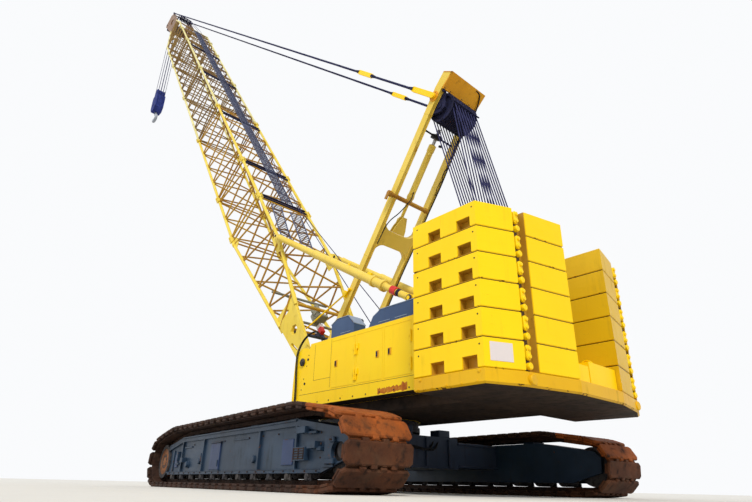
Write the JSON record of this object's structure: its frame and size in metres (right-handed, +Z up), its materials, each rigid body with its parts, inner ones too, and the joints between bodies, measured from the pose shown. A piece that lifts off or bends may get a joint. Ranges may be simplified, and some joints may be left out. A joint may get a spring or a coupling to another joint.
{
  "type": "crawler crane",
  "caption": "Crawler crane with a lattice boom held by pendants from a live mast, stacked counterweights, machinery houses, cab and hook block.",
  "frame": {"origin": "on the ground under the centre of the slew ring", "axes": "+X forwards along the boom, +Y to the left, +Z up"},
  "size_m": [32.0896, 8.3846, 34.9072],
  "materials": {
    "yellow_paint": "gloss",
    "track_steel": "rusty, matte",
    "grey_paint": "satin",
    "navy_paint": "satin",
    "dark_steel": "greasy",
    "bare_steel": "satin",
    "glass": "clear",
    "trim": "matte"
  },
  "bodies": {
    "lower_works": {"carbody": "navy_paint", "slew_ring": "dark_steel", "side_frame_left": "grey_paint", "side_frame_right": "grey_paint", "track_left": "track_steel", "track_right": "track_steel", "wheels_left": "dark_steel", "wheels_right": "dark_steel"},
    "upper_works": {"deck": "yellow_paint", "boom_brackets": "yellow_paint", "foot_pins": "bare_steel", "weight_tray": "yellow_paint", "weights_left": "yellow_paint", "weights_right": "yellow_paint", "house_left": "yellow_paint", "house_right": "yellow_paint", "engine": "dark_steel", "roof_boxes": "grey_paint", "backstop_posts": "yellow_paint", "cab_shell": "yellow_paint", "cab_glass": "glass", "cab_seat": "trim"},
    "boom": {"boom_foot": "yellow_paint", "boom_insert_1": "yellow_paint", "boom_insert_2": "yellow_paint", "boom_insert_3": "yellow_paint", "boom_insert_4": "yellow_paint", "boom_insert_5": "yellow_paint", "boom_head": "yellow_paint", "boom_walkway": "grey_paint"},
    "point_sheaves": {"boom_sheaves": "dark_steel"},
    "mast": {"mast": "yellow_paint", "mast_cylinder": "yellow_paint", "pendants": "dark_steel"},
    "mast_sheaves": {"mast_sheaves": "dark_steel"},
    "backstop_tubes": {"backstop_tubes": "yellow_paint"},
    "backstop_rods": {"backstop_rods": "yellow_paint"},
    "hook_block": {"hook_block": "navy_paint"},
    "hook": {"hook": "bare_steel"},
    "main_drum": {"main_drum": "dark_steel"},
    "second_drum": {"second_drum": "dark_steel"},
    "mast_drum": {"mast_drum": "dark_steel"},
    "tail_sheaves": {"tail_sheaves": "dark_steel"},
    "cab_door": {"cab_door": "yellow_paint", "cab_door_glass": "glass"},
    "door_left_1": {"door_left_1": "yellow_paint"},
    "door_left_2": {"door_left_2": "yellow_paint"},
    "door_left_3": {"door_left_3": "yellow_paint"},
    "door_right_1": {"door_right_1": "yellow_paint"},
    "door_right_2": {"door_right_2": "yellow_paint"},
    "door_right_3": {"door_right_3": "yellow_paint"}
  },
  "joints": [
    {"name": "swing", "type": "hinge", "parent": "lower_works", "child": "upper_works", "pos_m": [0, 0, 1.55], "axis": [0, 0, 1], "continuous": true},
    {"name": "boom_luff", "type": "hinge", "parent": "upper_works", "child": "boom", "pos_m": [1.33, 0, 3.04], "axis": [0, -1, 0], "range_deg": [-23.4, 26.6]},
    {"name": "mast_luff", "type": "hinge", "parent": "upper_works", "child": "mast", "pos_m": [1.33, 0, 3.04], "axis": [0, -1, 0], "range_deg": [-23.4, 26.6]},
    {"name": "backstop_tilt", "type": "hinge", "parent": "upper_works", "child": "backstop_tubes", "pos_m": [-2.7, 0, 3.8], "axis": [0, -1, 0], "range_deg": [-13.61, 15.4]},
    {"name": "backstop_slide", "type": "slide", "parent": "backstop_tubes", "child": "backstop_rods", "axis": [0.8608, 0, 0.5089], "range_m": [-1.288, 1.135]},
    {"name": "hook_hang", "type": "hinge", "parent": "boom", "child": "hook_block", "pos_m": [25.5706, 0, 34.38853], "axis": [0, -1, 0], "range_deg": [-26.6, 23.4]},
    {"name": "hook_swivel", "type": "hinge", "parent": "hook_block", "child": "hook", "pos_m": [25.5706, 0, 25.88854], "axis": [0, 0, 1], "continuous": true},
    {"name": "point_sheaves_turn", "type": "hinge", "parent": "boom", "child": "point_sheaves", "pos_m": [25.5706, 0, 34.38853], "axis": [0, 1, 0], "continuous": true},
    {"name": "mast_sheaves_turn", "type": "hinge", "parent": "mast", "child": "mast_sheaves", "pos_m": [-3.05931, 0, 9.12507], "axis": [0, 1, 0], "continuous": true},
    {"name": "main_drum_turn", "type": "hinge", "parent": "upper_works", "child": "main_drum", "pos_m": [0.15, 0, 2.56], "axis": [0, 1, 0], "continuous": true},
    {"name": "second_drum_turn", "type": "hinge", "parent": "upper_works", "child": "second_drum", "pos_m": [-1.1, 0, 2.56], "axis": [0, 1, 0], "continuous": true},
    {"name": "mast_drum_turn", "type": "hinge", "parent": "upper_works", "child": "mast_drum", "pos_m": [-2.35, 0, 2.56], "axis": [0, 1, 0], "continuous": true},
    {"name": "tail_sheaves_turn", "type": "hinge", "parent": "upper_works", "child": "tail_sheaves", "pos_m": [-4.7, 0, 2.6], "axis": [0, 1, 0], "continuous": true},
    {"name": "cab_door_swing", "type": "hinge", "parent": "upper_works", "child": "cab_door", "pos_m": [0.957, -2.45, 2.9], "axis": [0, 0, -1], "range_deg": [0, 90]},
    {"name": "door_left_1_swing", "type": "hinge", "parent": "upper_works", "child": "door_left_1", "pos_m": [-1.353, 1.675, 2.6], "axis": [0, 0, 1], "range_deg": [0, 90]},
    {"name": "door_left_2_swing", "type": "hinge", "parent": "upper_works", "child": "door_left_2", "pos_m": [-1.407, 1.675, 2.6], "axis": [0, 0, -1], "range_deg": [0, 90]},
    {"name": "door_left_3_swing", "type": "hinge", "parent": "upper_works", "child": "door_left_3", "pos_m": [-3.063, 1.675, 2.6], "axis": [0, 0, 1], "range_deg": [0, 90]},
    {"name": "door_right_1_swing", "type": "hinge", "parent": "upper_works", "child": "door_right_1", "pos_m": [-1.353, -1.675, 2.6], "axis": [0, 0, -1], "range_deg": [0, 90]},
    {"name": "door_right_2_swing", "type": "hinge", "parent": "upper_works", "child": "door_right_2", "pos_m": [-1.407, -1.675, 2.6], "axis": [0, 0, 1], "range_deg": [0, 90]},
    {"name": "door_right_3_swing", "type": "hinge", "parent": "upper_works", "child": "door_right_3", "pos_m": [-3.063, -1.675, 2.6], "axis": [0, 0, -1], "range_deg": [0, 90]}
  ],
  "couplings": [
    {"joint": "mast_luff", "follows": "boom_luff", "ratio": 1},
    {"joint": "backstop_tilt", "follows": "boom_luff", "ratio": 0.5602},
    {"joint": "backstop_slide", "follows": "boom_luff", "m_per_rad": -2.7534},
    {"joint": "hook_hang", "follows": "boom_luff", "ratio": -1}
  ]
}
